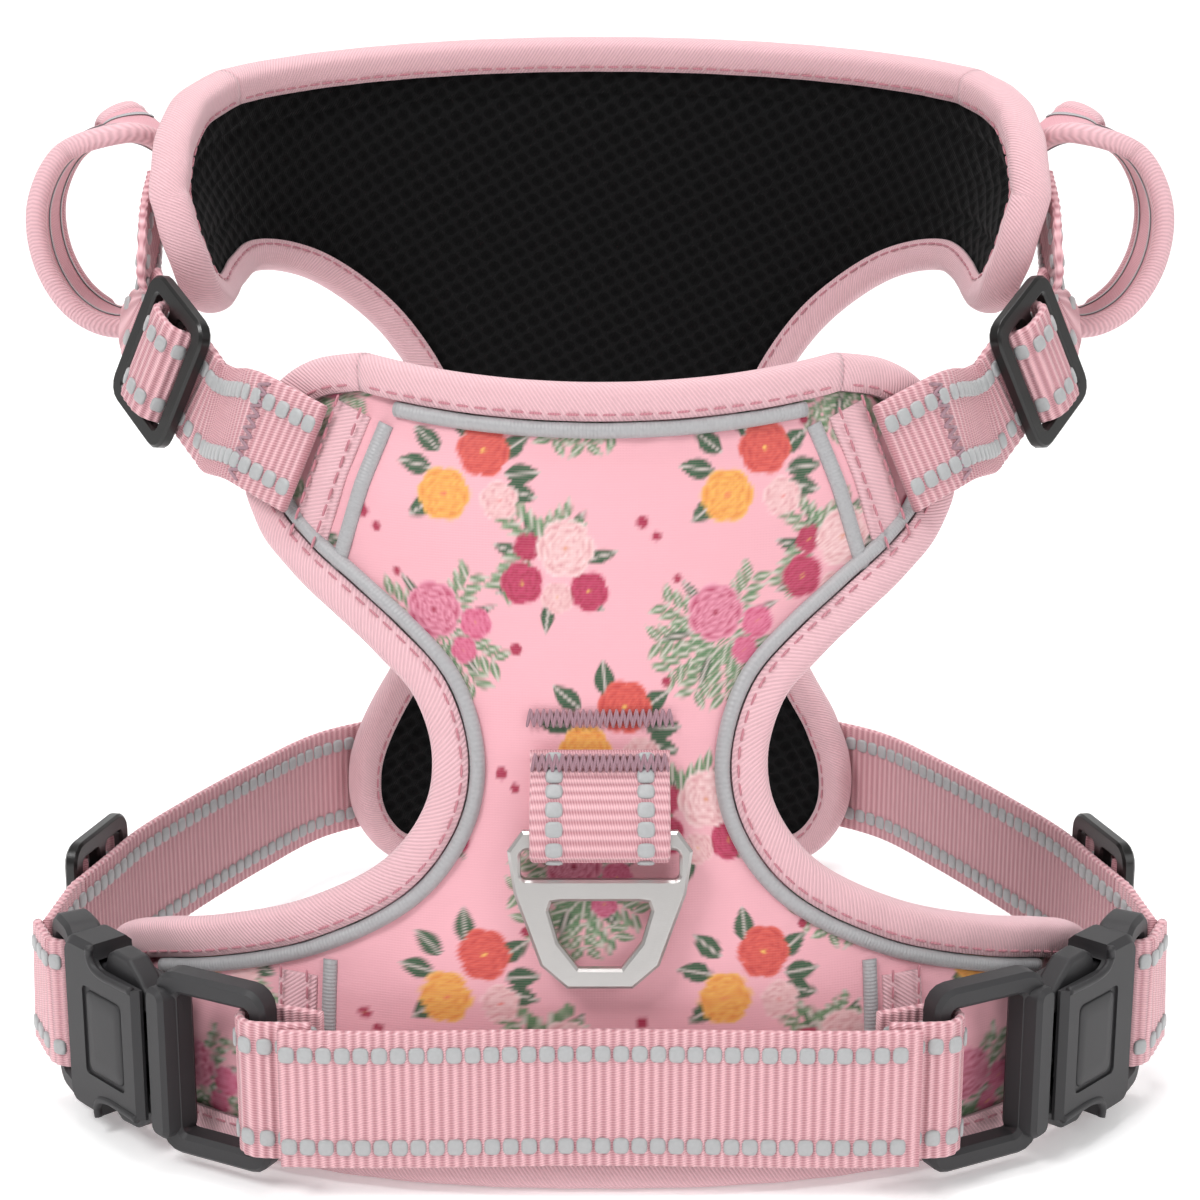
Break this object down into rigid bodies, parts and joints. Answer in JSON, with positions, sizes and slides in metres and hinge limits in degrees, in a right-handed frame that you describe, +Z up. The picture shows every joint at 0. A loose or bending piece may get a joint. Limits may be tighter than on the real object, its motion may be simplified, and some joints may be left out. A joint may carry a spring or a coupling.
{
  "type": "no pull dog harness",
  "caption": "Padded vest harness for a dog with front and rear leash rings, side release buckles, adjustable straps and grab handles.",
  "frame": {"origin": "on the ground under the middle of the harness as it stands", "axes": "+X to the viewer's right across the harness, +Y from the chest plate to the back plate, +Z up"},
  "size_m": [0.2248, 0.1708, 0.1875],
  "materials": {
    "printed_fabric": "smooth woven polyester, pink with a flower print",
    "mesh_fabric": "black spacer mesh",
    "twill_tape": "pink diagonal twill tape",
    "reflective_tape": "grey satin reflective piping",
    "webbing": "ribbed pink webbing with two rows of grey reflective stitches",
    "thread": "mauve sewing thread",
    "plastic": "matte dark grey acetal",
    "glossy_plastic": "glossy near black nylon",
    "satin_metal": "satin die cast alloy"
  },
  "bodies": {
    "harness": {"chest_cover": "printed_fabric", "chest_lining": "mesh_fabric", "chest_binding_lower": "twill_tape", "chest_binding_right": "twill_tape", "chest_binding_neck": "twill_tape", "chest_binding_left": "twill_tape", "chest_piping_right": "reflective_tape", "chest_piping_left": "reflective_tape", "chest_piping_neck": "reflective_tape", "corner_tape_upper_left": "twill_tape", "corner_tape_lower_left": "twill_tape", "cross_piping_upper_left": "reflective_tape", "cross_piping_lower_left": "reflective_tape", "male_frame_left": "plastic", "buckle_loop_left": "webbing", "neck_strap_left": "webbing", "girth_strap_left": "webbing", "corner_tape_upper_right": "twill_tape", "corner_tape_lower_right": "twill_tape", "cross_piping_upper_right": "reflective_tape", "cross_piping_lower_right": "reflective_tape", "male_frame_right": "plastic", "buckle_loop_right": "webbing", "neck_strap_right": "webbing", "girth_strap_right": "webbing", "chest_band": "webbing", "front_ring_tab": "webbing", "bar_tack_upper": "thread", "bar_tack_lower": "thread", "rear_ring_tab": "webbing", "rear_bar_tack": "thread", "back_cover": "printed_fabric", "back_lining": "mesh_fabric", "back_binding_lower": "twill_tape", "back_binding_right": "twill_tape", "back_binding_top": "twill_tape", "back_binding_left": "twill_tape"},
    "front_ring": {"front_ring": "satin_metal"},
    "rear_ring": {"rear_ring": "satin_metal"},
    "socket_left": {"socket_left": "plastic", "socket_loop_left": "webbing"},
    "prong_upper_left": {"prong_upper_left": "plastic"},
    "prong_lower_left": {"prong_lower_left": "plastic"},
    "girth_slider_left": {"girth_slider_left": "glossy_plastic", "girth_slider_loop_left": "webbing"},
    "neck_slider_left": {"neck_slider_left": "glossy_plastic", "neck_slider_loop_left": "webbing"},
    "handle_left": {"handle_left": "twill_tape"},
    "socket_right": {"socket_right": "plastic", "socket_loop_right": "webbing"},
    "prong_upper_right": {"prong_upper_right": "plastic"},
    "prong_lower_right": {"prong_lower_right": "plastic"},
    "girth_slider_right": {"girth_slider_right": "glossy_plastic", "girth_slider_loop_right": "webbing"},
    "neck_slider_right": {"neck_slider_right": "glossy_plastic", "neck_slider_loop_right": "webbing"},
    "handle_right": {"handle_right": "twill_tape"}
  },
  "joints": [
    {"name": "front_ring_swing", "type": "hinge", "parent": "harness", "child": "front_ring", "pos_m": [0, -0.07445, 0.06213], "axis": [-1, 0, 0], "range_deg": [-3, 135]},
    {"name": "rear_ring_swing", "type": "hinge", "parent": "harness", "child": "rear_ring", "pos_m": [0, 0.08167, 0.11341], "axis": [1, 0, 0], "range_deg": [-3, 135]},
    {"name": "buckle_release_left", "type": "slide", "parent": "harness", "child": "socket_left", "axis": [-0.682, 0.7314, 0], "range_m": [0, 0.024]},
    {"name": "prong_upper_left_flex", "type": "hinge", "parent": "harness", "child": "prong_upper_left", "pos_m": [-0.07685, -0.06657, 0.0295], "axis": [-0.7314, -0.682, 0], "range_deg": [0, 7], "stiffness_Nm_per_rad": 1.5},
    {"name": "prong_lower_left_flex", "type": "hinge", "parent": "harness", "child": "prong_lower_left", "pos_m": [-0.07685, -0.06657, 0.0105], "axis": [0.7314, 0.682, 0], "range_deg": [0, 7], "stiffness_Nm_per_rad": 1.5},
    {"name": "girth_slider_left_travel", "type": "slide", "parent": "harness", "child": "girth_slider_left", "axis": [0.2399, 0.9708, 0], "range_m": [0, 0.01]},
    {"name": "neck_slider_left_travel", "type": "slide", "parent": "harness", "child": "neck_slider_left", "axis": [-0.5268, 0.7218, 0.4489], "range_m": [-0.003, 0.004]},
    {"name": "handle_left_flop", "type": "hinge", "parent": "harness", "child": "handle_left", "pos_m": [-0.087, 0.045, 0.153], "axis": [-0.0801, 0.1002, 0.9917], "range_deg": [-8, 8], "stiffness_Nm_per_rad": 0.05},
    {"name": "buckle_release_right", "type": "slide", "parent": "harness", "child": "socket_right", "axis": [0.682, 0.7314, 0], "range_m": [0, 0.024]},
    {"name": "prong_upper_right_flex", "type": "hinge", "parent": "harness", "child": "prong_upper_right", "pos_m": [0.07685, -0.06657, 0.0295], "axis": [-0.7314, 0.682, 0], "range_deg": [0, 7], "stiffness_Nm_per_rad": 1.5},
    {"name": "prong_lower_right_flex", "type": "hinge", "parent": "harness", "child": "prong_lower_right", "pos_m": [0.07685, -0.06657, 0.0105], "axis": [0.7314, -0.682, 0], "range_deg": [0, 7], "stiffness_Nm_per_rad": 1.5},
    {"name": "girth_slider_right_travel", "type": "slide", "parent": "harness", "child": "girth_slider_right", "axis": [-0.2399, 0.9708, 0], "range_m": [0, 0.01]},
    {"name": "neck_slider_right_travel", "type": "slide", "parent": "harness", "child": "neck_slider_right", "axis": [0.5268, 0.7218, 0.4489], "range_m": [-0.003, 0.004]},
    {"name": "handle_right_flop", "type": "hinge", "parent": "harness", "child": "handle_right", "pos_m": [0.087, 0.045, 0.153], "axis": [0.0801, 0.1002, 0.9917], "range_deg": [-8, 8], "stiffness_Nm_per_rad": 0.05}
  ]
}
